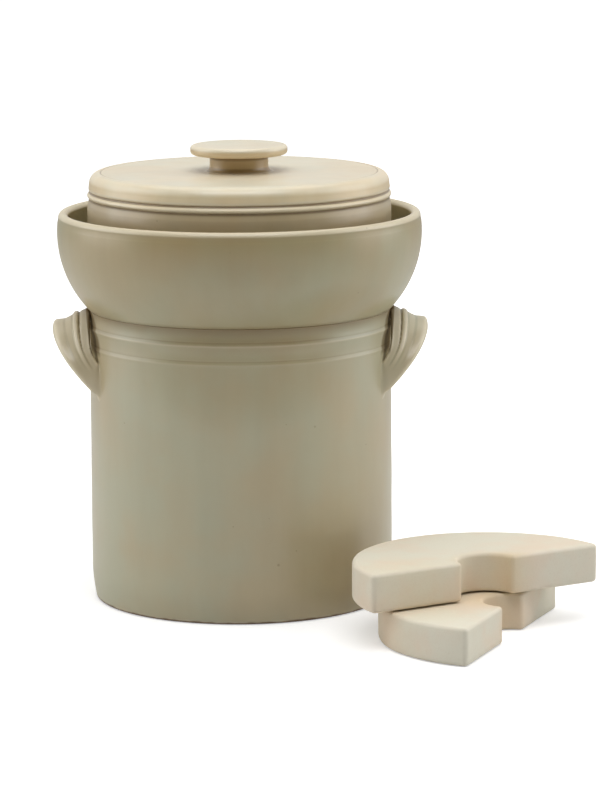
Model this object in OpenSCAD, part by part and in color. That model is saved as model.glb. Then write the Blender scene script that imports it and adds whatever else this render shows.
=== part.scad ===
// Fermentation crock of salt-glazed stoneware, with a water gutter round its neck, a lid whose
// skirt stands in the gutter, two ribbed strap handles and a pair of half-moon pressing stones.
// Millimetres, +Z up. The origin is the middle of the foot, on the surface the crock stands on.
// -Y is the front, and the handles are on -X and +X.

/* [Body] */
// Outside diameter of the wall
body_d = 181; // [150:1:220]
// Height of the wall from the foot to the shoulder that carries the gutter
shoulder_h = 175; // [140:1:240]
// Thickness of the wall
wall = 9; // [6:0.5:12]
// Thickness of the floor
floor_t = 10; // [6:0.5:16]
// Radius of the round between the floor and the wall inside
inner_fillet = 14; // [6:1:30]
// Radius of the slow curve that draws the wall in above the foot
foot_curve_r = 100; // [70:5:200]
// Height at which the foot's curve starts
foot_curve_h = 20; // [10:1:30]
// Radius of the round on the foot's edge
foot_edge_r = 1.5; // [0.8:0.1:3]

/* [Throwing rings] */
// Distance of the upper ring below the shoulder
ring_high_drop = 10.3; // [8:0.1:14]
// Distance of the lower ring below the shoulder
ring_low_drop = 21.3; // [18:0.1:30]
// Radius of a ring's round bead
ring_r = 1.2; // [0.8:0.1:2]
// How far a ring stands out of the wall
ring_proud = 0.3; // [0.2:0.1:0.8]
// Depth of the hollow band between the two rings
band_depth = 0.6; // [0.3:0.1:1.2]
// Depth of the cove between the upper ring and the gutter
cove_depth = 1.5; // [0.6:0.1:2.5]

/* [Neck and gutter] */
// Width of the shoulder ledge that the gutter stands on
ledge_w = 5.5; // [4:0.5:10]
// Thickness of the neck
neck_wall = 5; // [4:0.5:8]
// Height of the neck's lip above the shoulder
neck_h = 66; // [60:1:80]
// Height of the slope inside, from the wall in to the neck
inner_slope_h = 14; // [8:1:30]
// Distance from the top of that slope up to the shoulder
inner_slope_drop = 3; // [1:0.5:10]
// Free width of the water channel outside the lid's skirt
channel_w = 12.3; // [8:0.1:20]
// Thickness of the gutter's wall
gutter_wall = 6; // [4:0.5:8]
// Thickness of the round rim along the gutter's top
rim_d = 6.6; // [6.2:0.1:9]
// Height of the gutter's widest place above the shoulder
belly_h = 46; // [36:1:56]
// Height of the gutter's rim above its widest place
rim_rise = 12.2; // [8:0.1:18]
// Height of the channel's floor above the shoulder
channel_floor_h = 12; // [8:0.5:18]

/* [Lid] */
// Gap left under the skirt where it stands on the channel's floor
seat_gap = 0.3; // [0.2:0.05:0.6]
// Gap between the neck and the skirt all round
skirt_gap = 1.7; // [1:0.1:4]
// Thickness of the skirt
skirt_wall = 4; // [3:0.5:7]
// Free height between the neck's lip and the lid's underside
headroom = 7.2; // [3:0.1:15]
// Thickness of the lid's plate
plate_t = 8.5; // [6:0.5:12]
// How far the lid's side draws in from the lower groove to the top
draw_in = 1.2; // [0.5:0.1:4]
// Radius of the round on the lid's top edge
lid_edge_r = 6.4; // [3:0.1:8]
// Distance of the upper groove below the lid's top
groove_high_drop = 11.1; // [8:0.1:12]
// Distance of the lower groove below the lid's top
groove_low_drop = 15.4; // [13.8:0.1:18]
// Radius of the round bottom of a groove
groove_r = 1.3; // [0.8:0.1:1.8]
// Depth of a groove
groove_depth = 0.9; // [0.4:0.1:1.4]
// Radius of the round between the plate and the skirt inside
lid_fillet = 6; // [2:0.5:10]
// Radius of the two vents cut in the skirt's lower edge
vent_r = 4; // [2:0.5:8]

/* [Knob] */
// Diameter of the knob's disc
knob_d = 58; // [44:1:72]
// Thickness of the knob's disc at its edge
knob_t = 6.4; // [5:0.1:10]
// Height of the stem between the lid and the disc
stem_h = 9.4; // [7:0.1:16]
// Diameter of the stem
stem_d = 35; // [24:1:40]
// Radius of the rounds where the stem meets the lid and the disc
stem_fillet = 3; // [1:0.1:3.5]
// Radius of the round along the disc's edge
knob_edge_r = 2.4; // [1.5:0.1:2.5]

/* [Handles] */
// How far the outer lip reaches beyond the wall
handle_reach = 22; // [16:0.5:30]
// Width of the arch from root to root, along the middle of the strap
handle_span = 66; // [54:1:84]
// Height of the arch along the middle of the strap
handle_rise = 41; // [32:1:56]
// Drop of the outer lip below the inner edge at the crown
handle_fall = 8.5; // [4:0.5:12]
// Thickness of the strap
strap_t = 7; // [5:0.5:9]
// Depth of the two grooves pressed along the strap
rib_depth = 1.1; // [0.4:0.1:2]
// Gap between the wall and the strap's inner edge at the crown
handle_slit = 0.6; // [0.4:0.1:3]
// How far the crown's face reaches up beside the flare of the gutter
handle_tuck = 1.3; // [0:0.1:1.4]

/* [Pressing stones] */
// Gap all round between the stones and the mouth that they pass through
stone_play = 2; // [1:0.5:6]
// Thickness of a stone
stone_t = 22.6; // [14:0.1:30]
// Diameter of the finger notch in the middle of the cut edge
notch_d = 34.4; // [24:0.2:50]
// Radius of the round on a stone's edges
stone_edge_r = 2; // [0.8:0.1:4]
// Gap between the two stones where one lies on the other
stack_gap = 0.3; // [0.2:0.05:0.6]
// Distance of the lower stone's centre to the right of the wall
stones_aside = 65.1; // [50:0.1:120]
// Distance of the lower stone's centre in front of the wall
stones_ahead = 35.3; // [20:0.1:120]
// Turn of the lower stone's cut edge
lower_turn = 66.6; // [0:0.1:90]
// Turn of the upper stone's cut edge
upper_turn = 30.3; // [0:0.1:90]
// Shift of the upper stone's centre to the left of the lower one's
upper_shift = 14.8; // [0:0.2:30]
// Shift of the upper stone's centre to the back of the lower one's
upper_back = 1.4; // [-20:0.2:20]

/* [Hidden] */
$fn = 96;

glaze = [0.64, 0.60, 0.50];
glaze_light = [0.76, 0.72, 0.62];
bisque = [0.88, 0.84, 0.77];

// How far a cut runs past the face that it opens
past = 1;

// Body and neck
body_r = body_d / 2;
inside_r = body_r - wall;
foot_turn_r = body_r - foot_curve_r + sqrt(pow(foot_curve_r, 2) - pow(foot_curve_h - foot_edge_r, 2));
ring_high_z = shoulder_h - ring_high_drop;
ring_low_z = shoulder_h - ring_low_drop;
neck_outer_r = body_r - ledge_w;
mouth_r = neck_outer_r - neck_wall;
neck_top_z = shoulder_h + neck_h;
slope_top_z = shoulder_h - inner_slope_drop;
slope_low_z = slope_top_z - inner_slope_h;

// Lid
skirt_inner_r = neck_outer_r + skirt_gap;
lid_r = skirt_inner_r + skirt_wall;
channel_floor_z = shoulder_h + channel_floor_h;
skirt_low_z = channel_floor_z + seat_gap;
ceiling_z = neck_top_z + headroom;
lid_top_z = ceiling_z + plate_t;
taper_low_z = lid_top_z - groove_low_drop;
taper_top_z = lid_top_z - lid_edge_r;

// Gutter: its outside is one arc from the shoulder's edge through its widest place
gutter_r = lid_r + channel_w + gutter_wall;
belly_z = shoulder_h + belly_h;
rim_z = belly_z + rim_rise - rim_d / 2;
bowl_arc_r = arc_radius(belly_h, gutter_r - body_r);
bowl_centre_r = gutter_r - bowl_arc_r;
rim_r = bowl_centre_r + sqrt(pow(bowl_arc_r - gutter_wall / 2, 2) - pow(rim_z - belly_z, 2));

// Knob
stem_r = stem_d / 2;
knob_r = knob_d / 2;

// Handles: height of the arch's foot
root_z = shoulder_h + handle_tuck - strap_t / 2 - handle_rise;
// The strap is swept round the arch through this angle on each side of the crown
arch_angle = 112;
// How far along the arch the outer lip keeps its reach and the inner edge its slit
lip_hold = 1.4;
edge_hold = 14;
// How deep the strap's ends sink behind the wall's face, and how wide they are there
root_bury = 3;
root_width = 4;
edge_dip = handle_slit + body_r - sqrt(pow(body_r, 2) - pow(handle_span / 2, 2)) + root_bury + root_width;
// Shares of the strap's width at which the ribs begin and end, and how square its lower edges are
rib_ends = [0, 0.30, 0.72, 1];
edge_power = 6;
// Steps along the arch, across each rib and across the underside
arch_rings = 28;
rib_steps = 5;
under_steps = 8;

// Stones
stone_r = mouth_r - stone_play;
notch_r = notch_d / 2;
lower_place = [body_r + stones_aside, -body_r - stones_ahead, 0];
upper_place = lower_place + [-upper_shift, upper_back, stone_t + stack_gap];

// Radius of the arc with this half chord and this rise
function arc_radius(half, rise) = (half * half + rise * rise) / (2 * rise);

// What lies outside a round of radius r in the corner towards +X and +Y
module corner_waste(r) {
    difference() {
        square(r + past);
        circle(r);
    }
}

// Shallow hollow between two heights in a wall of radius wall_r
module hollow_between(wall_r, low_z, high_z, depth) {
    half = (high_z - low_z) / 2;
    hollow_r = arc_radius(half, depth);
    translate([wall_r - depth + hollow_r, low_z + half])
        circle(hollow_r);
}

// Outside of the body and neck, from the axis out
module body_outline() {
    difference() {
        union() {
            square([body_r, shoulder_h]);
            square([neck_outer_r, neck_top_z - neck_wall / 2]);
        }
        // The wall draws in slowly towards the foot
        difference() {
            translate([inside_r, -past])
                square([wall + past, foot_curve_h + past]);
            translate([body_r - foot_curve_r, foot_curve_h])
                circle(foot_curve_r);
        }
        translate([foot_turn_r - foot_edge_r, foot_edge_r])
            mirror([0, 1])
                corner_waste(foot_edge_r);
        hollow_between(body_r, ring_low_z, ring_high_z, band_depth);
        hollow_between(body_r, ring_high_z, shoulder_h, cove_depth);
    }
    for (z = [ring_low_z, ring_high_z])
        translate([body_r + ring_proud - ring_r, z])
            circle(ring_r);
    translate([mouth_r + neck_wall / 2, neck_top_z - neck_wall / 2])
        circle(d = neck_wall);
}

// Space inside the body and neck
module body_hollow() {
    difference() {
        translate([0, floor_t])
            square([inside_r, slope_low_z - floor_t]);
        translate([inside_r - inner_fillet, floor_t + inner_fillet])
            mirror([0, 1])
                corner_waste(inner_fillet);
    }
    polygon([[0, slope_low_z], [inside_r, slope_low_z], [mouth_r, slope_top_z], [0, slope_top_z]]);
    translate([0, slope_top_z])
        square([mouth_r, neck_top_z - slope_top_z + past]);
}

module crock_body() {
    color(glaze)
        rotate_extrude()
            difference() {
                body_outline();
                body_hollow();
            }
}

// Disc of the bowl's arc, drawn in by a wall thickness
module bowl_disc(inset) {
    translate([bowl_centre_r, belly_z])
        circle(bowl_arc_r - inset);
}

module gutter_bowl() {
    bowl_w = gutter_r - neck_outer_r + past;
    color(glaze_light)
        rotate_extrude() {
            difference() {
                intersection() {
                    bowl_disc(0);
                    translate([neck_outer_r, shoulder_h])
                        square([bowl_w, rim_z - shoulder_h]);
                }
                // The water channel is at least as wide as the skirt that stands in it
                translate([neck_outer_r - past, channel_floor_z])
                    square([lid_r + skirt_gap - neck_outer_r + past, rim_z - channel_floor_z + past]);
                intersection() {
                    bowl_disc(gutter_wall);
                    translate([lid_r, channel_floor_z])
                        square([bowl_w, rim_z - channel_floor_z + past]);
                }
            }
            translate([rim_r, rim_z])
                circle(d = rim_d);
        }
}

// Radial section of the lid without its knob
module lid_section() {
    difference() {
        union() {
            translate([0, skirt_low_z])
                square([lid_r, taper_low_z - skirt_low_z]);
            polygon([[0, taper_low_z], [lid_r, taper_low_z], [lid_r - draw_in, taper_top_z],
                [lid_r - draw_in, lid_top_z], [0, lid_top_z]]);
        }
        translate([lid_r - draw_in - lid_edge_r, taper_top_z])
            corner_waste(lid_edge_r);
        for (drop = [groove_low_drop, groove_high_drop])
            translate([side_r(lid_top_z - drop) - groove_depth + groove_r, lid_top_z - drop])
                circle(groove_r);
        // Space under the plate and inside the skirt
        difference() {
            translate([0, skirt_low_z - past])
                square([skirt_inner_r, ceiling_z - skirt_low_z + past]);
            translate([skirt_inner_r - lid_fillet, ceiling_z - lid_fillet])
                corner_waste(lid_fillet);
        }
    }
}

// Radius of the lid's tapered side at height z
function side_r(z) = lid_r - draw_in * (z - taper_low_z) / (taper_top_z - taper_low_z);

module lid() {
    color(glaze_light)
        difference() {
            rotate_extrude()
                lid_section();
            translate([0, 0, skirt_low_z])
                rotate([90, 0, 0])
                    cylinder(r = vent_r, h = 2 * (lid_r + past), center = true);
        }
}

module lid_knob() {
    disc_z = lid_top_z + stem_h;
    color(glaze_light)
        rotate_extrude()
            difference() {
                union() {
                    translate([0, lid_top_z])
                        square([stem_r + stem_fillet, stem_h]);
                    translate([0, disc_z])
                        square([knob_r, knob_t]);
                }
                // The stem widens in a round at both ends
                for (up = [stem_fillet, stem_h - stem_fillet])
                    translate([stem_r + stem_fillet, lid_top_z + up])
                        circle(stem_fillet);
                translate([stem_r, lid_top_z + stem_fillet])
                    square([stem_fillet + past, stem_h - 2 * stem_fillet]);
                translate([knob_r - knob_edge_r, disc_z + knob_t - knob_edge_r])
                    corner_waste(knob_edge_r);
                translate([knob_r - knob_edge_r, disc_z + knob_edge_r])
                    mirror([0, 1])
                        corner_waste(knob_edge_r);
            }
}

// Inner edge and outer lip of the strap at angle t from the crown
function edge_x(t) = body_r + handle_slit - edge_dip * pow(sin(min(abs(t), 90)), edge_hold);
function edge(t) = [edge_x(t), handle_span / 2 * sin(t), root_z + handle_rise * cos(t)];
function lip_x(t) = max(body_r + handle_reach * (1 - pow(1 - cos(t), lip_hold)), edge_x(t) + root_width);
function lip(t) = [lip_x(t), handle_span / 2 * sin(t), root_z + (handle_rise - handle_fall) * cos(t)];

// Direction that the strap's ribbed face looks at angle t
function out_of_arch(t) = let (v = [0, handle_rise * sin(t), handle_span / 2 * cos(t)]) v / norm(v);

// Height of the strap's ribbed face above its middle at share s of a rib, and depth of its underside
function rib_face(s) = strap_t / 2 - rib_depth * (1 - sin(180 * s));
function under_face(u) = -strap_t / 2 * sqrt(1 - pow(abs(2 * u - 1), edge_power));

// One section of the strap as [share of width, height] pairs: three ribs, then the plain underside
strap_ribs = [for (k = [0:len(rib_ends) - 2]) for (j = [0:rib_steps - 1])
    let (s = j / rib_steps) [rib_ends[k] + (rib_ends[k + 1] - rib_ends[k]) * s, rib_face(s)]];
strap_under = [for (j = [0:under_steps])
    let (u = (1 + cos(180 * j / under_steps)) / 2) [u, under_face(u)]];
strap_section = concat(strap_ribs, [[1, rib_face(1)]], strap_under);

module strap() {
    n = len(strap_section);
    points = [for (i = [0:arch_rings]) let (t = arch_angle * (2 * i / arch_rings - 1))
        for (p = strap_section) edge(t) + p[0] * (lip(t) - edge(t)) + p[1] * out_of_arch(t)];
    sides = [for (i = [0:arch_rings - 1]) for (k = [0:n - 1])
        let (a = i * n + k, b = i * n + (k + 1) % n) each [[a, b, b + n], [a, b + n, a + n]]];
    // The end caps are fans from the middle of the underside
    hub = len(strap_ribs) + 1 + under_steps / 2;
    last = arch_rings * n;
    caps = [for (k = [1:n - 2]) let (a = (hub + k) % n, b = (hub + k + 1) % n)
        each [[hub, b, a], [last + hub, last + a, last + b]]];
    polyhedron(points, concat(sides, caps));
}

module right_handle() {
    color(glaze_light)
        difference() {
            strap();
            rotate_extrude()
                body_outline();
        }
}

module left_handle() {
    mirror([1, 0, 0])
        right_handle();
}

// Half-moon stone with its cut edge along X, its notch at the origin and its underside at z = 0
module half_moon() {
    rotate_extrude(angle = 180)
        difference() {
            translate([notch_r, 0])
                square([stone_r - notch_r, stone_t]);
            for (out = [0, 1], up = [0, 1])
                translate([out ? stone_r - stone_edge_r : notch_r + stone_edge_r,
                        up ? stone_t - stone_edge_r : stone_edge_r])
                    mirror([1 - out, 0])
                        mirror([0, 1 - up])
                            corner_waste(stone_edge_r);
        }
}

module lower_stone() {
    color(bisque)
        translate(lower_place)
            rotate([0, 0, lower_turn])
                half_moon();
}

module upper_stone() {
    color(bisque)
        translate(upper_place)
            rotate([0, 0, upper_turn])
                half_moon();
}

crock_body();
gutter_bowl();
left_handle();
right_handle();
lid();
lid_knob();
lower_stone();
upper_stone();
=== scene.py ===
"""Looks of a salt-glazed fermentation crock: pot, water gutter, strap handles, knobbed lid and two stones.

Profiles and sections are in millimetres, as (r, z) points round the crock's axis. Meshes, materials and
the set are in metres.
"""

import math

import bpy
import numpy as np
from mathutils import Matrix, Vector


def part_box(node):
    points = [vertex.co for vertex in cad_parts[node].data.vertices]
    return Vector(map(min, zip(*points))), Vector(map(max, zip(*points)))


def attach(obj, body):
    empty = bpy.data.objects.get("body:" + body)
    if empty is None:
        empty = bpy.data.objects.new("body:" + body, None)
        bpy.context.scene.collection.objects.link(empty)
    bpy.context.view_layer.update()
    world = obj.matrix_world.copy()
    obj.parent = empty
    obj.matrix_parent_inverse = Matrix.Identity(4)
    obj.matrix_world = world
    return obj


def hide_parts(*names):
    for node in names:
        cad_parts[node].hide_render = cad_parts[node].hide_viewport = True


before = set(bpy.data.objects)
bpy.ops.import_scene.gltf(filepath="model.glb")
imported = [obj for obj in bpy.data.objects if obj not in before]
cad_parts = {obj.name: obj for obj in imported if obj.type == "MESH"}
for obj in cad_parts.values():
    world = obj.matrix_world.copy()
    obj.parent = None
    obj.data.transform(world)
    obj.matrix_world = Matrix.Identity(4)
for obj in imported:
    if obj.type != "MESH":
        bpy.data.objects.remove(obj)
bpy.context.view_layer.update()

MM = 0.001


def node_box(node):
    """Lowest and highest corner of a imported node, in mm."""
    low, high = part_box(node)
    return np.array(low) / MM, np.array(high) / MM


def srgb(red, green, blue):
    """Linear colour of an 8-bit sRGB one."""
    shares = (red / 255, green / 255, blue / 255)
    linear = [c / 12.92 if c <= 0.04045 else ((c + 0.055) / 1.055) ** 2.4 for c in shares]
    return (*linear, 1.0)


_, pot_high = node_box("crock_body")
bowl_low, bowl_high = node_box("gutter_bowl")
lid_low, lid_high = node_box("lid")
knob_low, knob_high = node_box("lid_knob")

# Pot
RING_PROUD = 0.3
BODY_R = pot_high[0] - RING_PROUD
SHOULDER_Z = bowl_low[2]
NECK_TOP_Z = pot_high[2]
WALL = 9.0
FLOOR_Z = 10.0
INNER_FILLET = 14.0
FOOT_CURVE_R = 100.0
FOOT_CURVE_Z = 20.0
FOOT_EDGE_R = 1.5
RING_HIGH_Z = SHOULDER_Z - 10.3
RING_LOW_Z = SHOULDER_Z - 21.3
RING_MARGIN = 4
RING_SWELL = 0.15
RING_WIDTH = 1.1
LINE_ABOVE = 2.0
LINE_WIDTH = 0.55
LINE_DEPTH = 0.12
BAND_DEPTH = 0.6
COVE_DEPTH = 0.8
SEAM_R = 0.35
NECK_R = BODY_R - 5.5
NECK_WALL = 5.0
SLOPE_TOP_Z = SHOULDER_Z - 3.0
SLOPE_H = 14.0
THROW_PITCH = 8.0
THROW_DEPTH = 0.25
FOOT_STEP = 1.5
WALL_STEP = 2.5
RING_STEP = 0.3
WAVE_STEP = 1.3
FLOOR_STEP = 1.6
# Mean and wave of the wall's unevenness, and the heights over which it comes in and dies out
UNEVEN = 0.1
UNEVEN_WAVE = 0.05
UNEVEN_IN = (1.5, 20)
UNEVEN_OUT = (70, 105)
# Waves of it: times round, mm of height per radian, and phase
UNEVEN_WAVES = ((2, 31.0, 0.0), (3, -17.0, 1.0), (0.4, 5.2, 0.0))

# Gutter
BOWL_R = bowl_high[0]
BOWL_TOP_Z = bowl_high[2]
BELLY_Z = SHOULDER_Z + 46.0
GUTTER_WALL = 6.0
RIM_R = 2.9
RIM_BLEND = 3.2
CHANNEL_FLOOR_Z = SHOULDER_Z + 12.0
CHANNEL_FILLET = 3.0
CHANNEL_RISE = 3.4
JOINT_R = NECK_R + 0.05

# Lid
LID_R = lid_high[0]
LID_LOW_Z = lid_low[2]
LID_TOP_Z = lid_high[2]
SKIRT_WALL = 4.0
SKIRT_EDGE_R = 1.6
PLATE = 8.5
LID_FILLET = 6.0
LID_EDGE_R = 6.4
DRAW_IN = 1.2
TAPER_LOW_Z = LID_TOP_Z - 15.4
GROOVE_HIGH_Z = LID_TOP_Z - 11.1
GROOVE_LOW_Z = TAPER_LOW_Z
GROOVE_WIDTH = 0.95
GROOVE_RUNOUT = 3.2
GROOVE_DEPTH = 0.95
GROOVE_STEP = 0.2
BEAD_PROUD = 0.3
BEAD_WIDTH = 1.1
TOP_LINE_IN = 7.9
TOP_LINE_DEPTH = 0.36
TOP_LINE_WIDTH = 0.8
TOP_STEP = 0.3
PLAIN_STEP = 3.0
VENT_R = 4.0
VENT_BLEND = 10.0
VENT_SPAN = 1.15
VENT_CLEAR = 1.1
VENT_POINTS = 25

# Knob
KNOB_R = knob_high[0]
KNOB_TOP_Z = knob_high[2]
KNOB_LOW_Z = knob_low[2]
KNOB_SINK = 0.1
KNOB_T = 6.3
KNOB_EDGE_R = 2.3
KNOB_SLOPE = 0.5
KNOB_DISH = 0.45
DISH_FLAT_R = 8
STEM_R = 17.5
FOOT_FLARE = 3.2
NECK_FLARE = 2.4

# Handles
STRAP_T = 7.0
HANDLE_REACH = 22.0
HANDLE_SPAN = 66.0
HANDLE_RISE = 41.0
HANDLE_FALL = 8.5
HANDLE_SLIT = -0.9
HANDLE_TUCK = 1.0
ROOT_Z = SHOULDER_Z + HANDLE_TUCK - STRAP_T / 2 - HANDLE_RISE
ARCH_ANGLE = 112.0
LIP_HOLD = 1.4
EDGE_HOLD = 14
ROOT_BURY = 3.0
ROOT_WIDTH = 4.0
ROOT_THIN = 0.5
ROOT_SINK = 1.5
INNER_POWER = 24
LIP_POWER = 14
UNDER_POWER = 6
# Shares of the strap's width, and how far its pressed face lies above a plain one there
RIB_SHARES = (0, 0.13, 0.27, 0.305, 0.34, 0.40, 0.447, 0.475, 0.58, 0.69, 0.74, 0.85, 0.94, 1)
RIB_HEIGHTS = (0, -0.45, -0.8, -2.3, -0.2, 0.1, 0.1, -1.1, -1.5, -1.75, -1.4, -0.7, -0.1, 0)
# Angles along the arch over which the ribs run out and the strap gets thinner
RIB_FADE = (40, 78)
THIN_FADE = (60, 100)
# Clay behind the strap: half angle, heights, thickness, and how deep it lies under the wall's face
PATCH_ANGLE = 34
PATCH_Z = (ROOT_Z - 24, ROOT_Z + 15)
PATCH_T = 3
PATCH_DEPTH = 0.12
PATCH_TRIM = 0.7
PATCH_COLUMNS = 70
PATCH_ROWS = 40
STRAP_SECTIONS = 150
FACE_POINTS = 90
UNDER_POINTS = 40
VOXEL = 0.45
SMOOTHING = 0.5
STRAP_ROUNDS = 2
ROOT_ROUNDS = 80
EDGE_ROUNDS = 10
# Clearance from the wall and height over which the smoothing of the roots dies out
ROOT_CLEAR = (1.5, 5.0)
ROOT_HEIGHT = (ROOT_Z + 5, ROOT_Z + 15)
HANDLE_PAINTED_LIGHT = 0.42
RIB_GAIN = 3.5
GROOVE_GAIN = 7.0

# Stones
STONE_R = 78.0
STONE_T = 22.6
NOTCH_R = 17.2
STONE_EDGE_R = 2.2
STONE_CORNER_R = 2.8
STONE_FACE_IN = STONE_EDGE_R + 0.3
STONE_GAP = 0.7
STONE_UNEVEN = 0.09
# Millimetres per radian of that unevenness, along X, Y and Z
STONE_WAVES = (7.0, 5.0, 6.0)
LOWER_PLACE = (155.6, -125.8, 0.0)
UPPER_PLACE = (140.8, -124.4, 22.9)
LOWER_TURN = 66.6
UPPER_TURN = 30.3
LOWER_PHASE = 0.3
UPPER_PHASE = 1.7

# Meshes
SEGMENTS = 240
EDGE_REACH = 1.3
EDGE_GAIN = 2.6

# Textures
NOISE_ROUGHNESS = 0.55
DOT_CORE = 0.4
RAGGED_SCALE = 22.0
RAGGED_RANGE = (2.2, 0.4)

# Glaze. A range is where a value starts to count, where it counts fully and, if given, how much then.
# Of the tones, the pale one for edges is glaze thinned there and also painted highlight on rims, beads, rings
# and straps; the dark brown one is glaze gathered in grooves and runs and also painted shade under the gutter
# and along the seam.
BODY_TONES = {
    "cool": srgb(176, 173, 145),
    "warm": srgb(181, 169, 136),
    "flash": srgb(182, 162, 126),
    "thin": srgb(224, 212, 184),
    "pooled_and_shade": srgb(122, 98, 62),
}
LID_TONES = {
    "cool": srgb(208, 204, 183),
    "warm": srgb(213, 201, 176),
    "flash": srgb(212, 190, 152),
    "thin": srgb(238, 227, 199),
    "pooled_and_shade": srgb(118, 92, 56),
}
# Lower and upper height, softness and tint
BODY_BANDS = (
    (0.175, 0.24, 0.0004, (0.92, 0.9, 0.83, 1)),
    (0.205, 0.24, 0.014, (0.94, 0.93, 0.9, 1)),
)
# Lid bands in order: painted shade on the skirt inside the gutter, a warmer side, painted light on the upper
# side and rounded top edge, painted shade under the knob's disc and round its stem, and a warmer, darker disc
# edge
LID_BANDS = (
    (0.18, 0.2413, 0.0004, (0.78, 0.73, 0.63, 1)),
    (0.2413, 0.252, 0.0015, (1, 0.95, 0.85, 1)),
    (0.2480, 0.2562, 0.0006, (1.08, 1.05, 1.0, 1)),
    (0.2576, 0.2664, 0.0004, (0.92, 0.78, 0.51, 1)),
    (0.2664, 0.2702, 0.0008, (0.93, 0.8, 0.59, 1)),
)
BODY_THIN_AND_HIGHLIGHT = 0.75
LID_THIN_AND_HIGHLIGHT = 0.3
CLOUD_SCALE = 9.0
CLOUD_RANGE = (0.36, 0.64)
BLOTCH_SCALE = 34.0
BLOTCH_RANGE = (0.35, 0.7, 0.3)
FLASH_LEAN = 0.55
FLASH_SCALE = 13.0
FLASH_RAGGED = 0.09
FLASH_RANGE = (-0.01, 0.13, 0.12)
DARK_PATCH_TINT = (0.9, 0.84, 0.75, 1)
# Darkened patches, mostly painted shade and dark reflections: the middle below the rings, the middle under
# the gutter, low on the right by the stones and the gutter's upper middle; then a warm patch low on the
# gutter's right and one under the right strap's outer edge, partly painted shade. Middle and reach in X and
# Z, and strength
DARKENED_PATCHES = (
    ((0.0, 0.15), (0.06, 0.03), 1.0),
    ((0.0, 0.168), (0.045, 0.008), 1.0),
    ((0.052, 0.036), (0.028, 0.028), 0.42),
    ((0.0, 0.224), (0.075, 0.022), 1.0),
    ((0.058, 0.187), (0.028, 0.012), 0.6),
    ((0.103, 0.146), (0.007, 0.011), 1.0),
)
RUN_STRETCH = (60, 60, 9)
RUN_RANGE = (0.35, 0.7, 0.06)
# Heights of the painted shade under the gutter, of the painted shade line along the seam and of the rings,
# and the radii of the wall's face
SHELTER = (0.1675, 0.1745)
SHELTER_END = (0.1752, 0.1748, 0.5)
SEAM_LINE = (0.1738, 0.1764, 0.0007)
SEAM_SHADE = 0.3
SEAM_COVER = 0.75
RING_ZONE = ((RING_LOW_Z - RING_MARGIN) * MM, (RING_HIGH_Z + RING_MARGIN) * MM, 0.001)
RING_COVER = 0.6
WALL_FACE = ((BODY_R + 0.8) * MM, (BODY_R + 0.4) * MM)
THIN_AND_HIGHLIGHT_RANGE = (0.1, 0.8)
POOL_RANGE = (0.12, 0.8, 0.75)
SPECK = srgb(104, 84, 58)
# Scale, size, share of cells and strength
SPECKS = ((190.0, 0.11, 0.05, 0.4), (46.0, 0.05, 0.07, 0.35))
# Toasted clay of the bare foot, which also stands in as painted contact shade at the floor
TOAST_AND_CONTACT_SHADE = srgb(104, 76, 46)
FOOT_NOISE = 120.0
FOOT_RAGGED = 0.0016
FOOT_BARE_AND_SHADE = (0.0028, 0.0013)
# Painted shade on the sheltered wall behind the straps, where the glaze is also duller
STRAP_SHADE = srgb(92, 70, 42)
POCKET_SHADE = 0.62
POCKET_LOW = 0.1495
DULL_LOW = 0.1445
POCKET_FADE = 0.004
POCKET_TOP = (0.1755, 0.1748)
POCKET_FAR = (1.54, 1.3)
POCKET_OUT = (0.0922, 0.0916)
POCKET_LEAN = 0.15
POCKET_LEAN_Z = 0.172
ROUGHNESS = 0.285
ROUGH_SCALE = 60.0
ROUGH_SPREAD = 0.08
ROUGH_DRY = 0.5
GLOSS = 0.5
GLAZE_IOR = 1.68
# Stretch or scale, and distance and strength of the bump
TURN_STRETCH = (40, 40, 420)
TURN_BUMP = (0.0002, 0.06)
PEEL_SCALE = 300.0
PEEL_BUMP = (0.00025, 0.08)

# Unglazed clay
BISQUE_CREAM = srgb(221, 216, 198)
BISQUE_BLUSH = srgb(224, 209, 188)
BISQUE_DARK = srgb(204, 189, 166)
BISQUE_WORN = srgb(230, 221, 203)
NOTCH_BLUSH = (0.98, 0.9, 0.78, 1)
# Middle and reach in X and Y, and strength
BLUSHED = (
    ((LOWER_PLACE[0] * MM, LOWER_PLACE[1] * MM), (0.02, 0.02), 0.8),
    ((UPPER_PLACE[0] * MM, UPPER_PLACE[1] * MM), (0.02, 0.02), 0.8),
    ((0.1, -0.148), (0.032, 0.03), 0.4),
)
BLUSH_SCALE = 17.0
BLUSH_RANGE = (0.44, 0.68)
GRAIN_SCALE = 900.0
GRAIN_RANGE = (0.45, 0.75, 0.15)
WORN_RANGE = (0.1, 1.0, 0.3)
PORES = (330.0, 0.16, 0.2)
PORE_SHADE = 0.3
PORE_DEPTH = 0.8
CLAY_ROUGHNESS = 0.74
CLAY_ROUGH_SPREAD = 0.2
CLAY_BUMP = (0.0002, 0.16)
DENT_SCALE = 70.0
DENT_BUMP = (0.0012, 0.1)
CLAY_IOR = 1.45

# Set
FOCAL_PX = 3803.7
IMAGE_LONG_PX = 800
SENSOR = 36.0
CAMERA_PLACE = (0, -2.2577, 0.51403)
# Degrees down, to the right and of roll
CAMERA_TURN = (9.958, 0.901, -0.347)
CAMERA_FAR = 60.0
GROUND_HALF = 9000.0
GROUND_Z = -0.3
FLOOR_ALBEDO = 0.76
FLOOR_LIFT = 0.4
FLOOR_LIFT_FAR = 0.85
FLOOR_FADE = (0.25, 0.9)
ROOM_FRONT = 0.0
ROOM_BACK = 0.66
ROOM_TURN = (-0.2, 0.5)
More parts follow.
